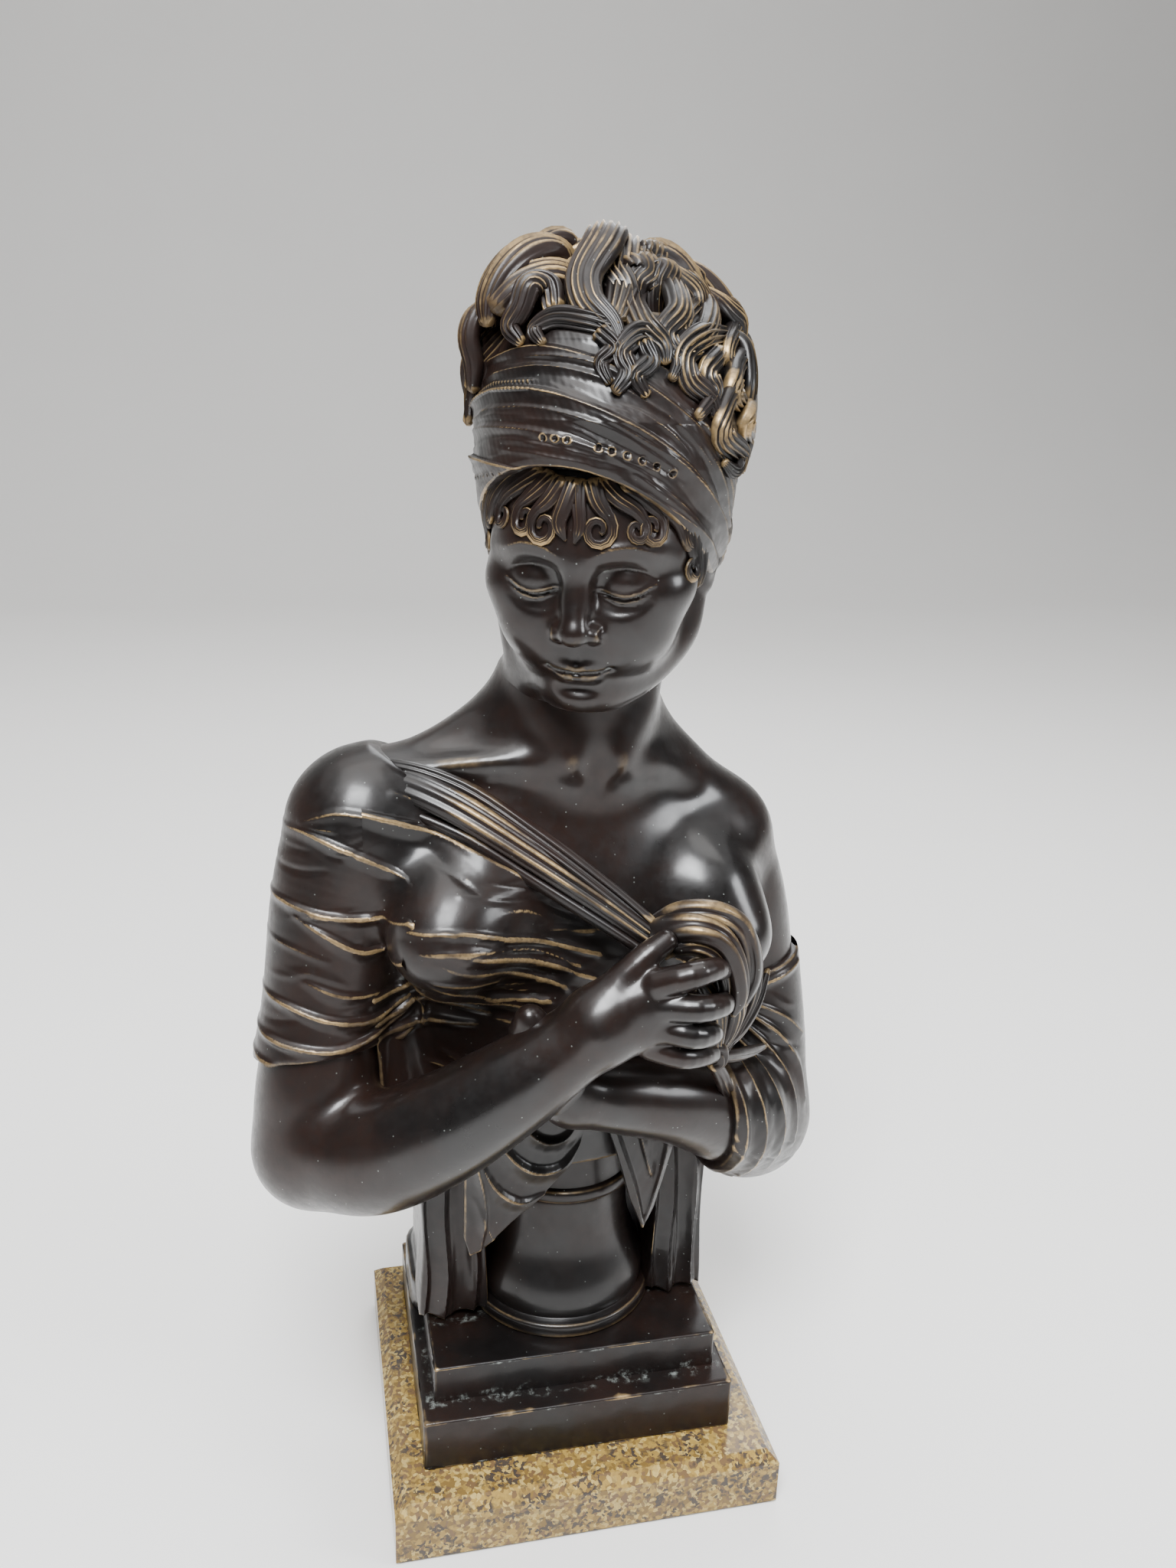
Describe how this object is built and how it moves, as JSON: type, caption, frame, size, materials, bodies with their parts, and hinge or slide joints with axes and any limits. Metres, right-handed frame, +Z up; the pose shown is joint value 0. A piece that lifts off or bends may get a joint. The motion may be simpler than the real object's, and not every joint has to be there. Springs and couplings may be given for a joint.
{
  "type": "bronze portrait bust",
  "caption": "Draped half-length female bust in dark patinated bronze, with piled hair and a headscarf, on a stepped foot and a bevelled granite plinth.",
  "frame": {"origin": "middle of the underside of the felt, at the middle of the plinth", "axes": "+Z up, -Y to the figure's front, +X to the figure's left"},
  "size_m": [0.2945, 0.2049, 0.632],
  "materials": {
    "bronze": "dark brown patina under polished wax, rubbed golden on the ridges",
    "granite": "polished golden granite",
    "felt": "wool felt",
    "steel": "zinc plated"
  },
  "bodies": {
    "root": {"felt_pad": "felt", "granite_plinth": "granite", "fixing_rod": "steel", "bridge_bar": "steel", "bridge_washer": "steel", "bridge_nut": "steel", "plinth_washer": "steel", "plinth_nut": "steel", "back_pier": "bronze", "drapery_fall_left": "bronze", "drapery_fall_right": "bronze", "foot_casting": "bronze", "hair_crown": "bronze", "hair_fringe": "bronze", "head": "bronze", "headscarf": "bronze", "left_arm": "bronze", "left_hand": "bronze", "right_arm": "bronze", "right_hand": "bronze", "shawl_body": "bronze", "shawl_roll": "bronze", "shawl_sleeve_left": "bronze", "shawl_sleeve_right": "bronze", "shawl_tail": "bronze", "socle": "bronze", "swag_front": "bronze", "torso": "bronze"}
  },
  "joints": []
}
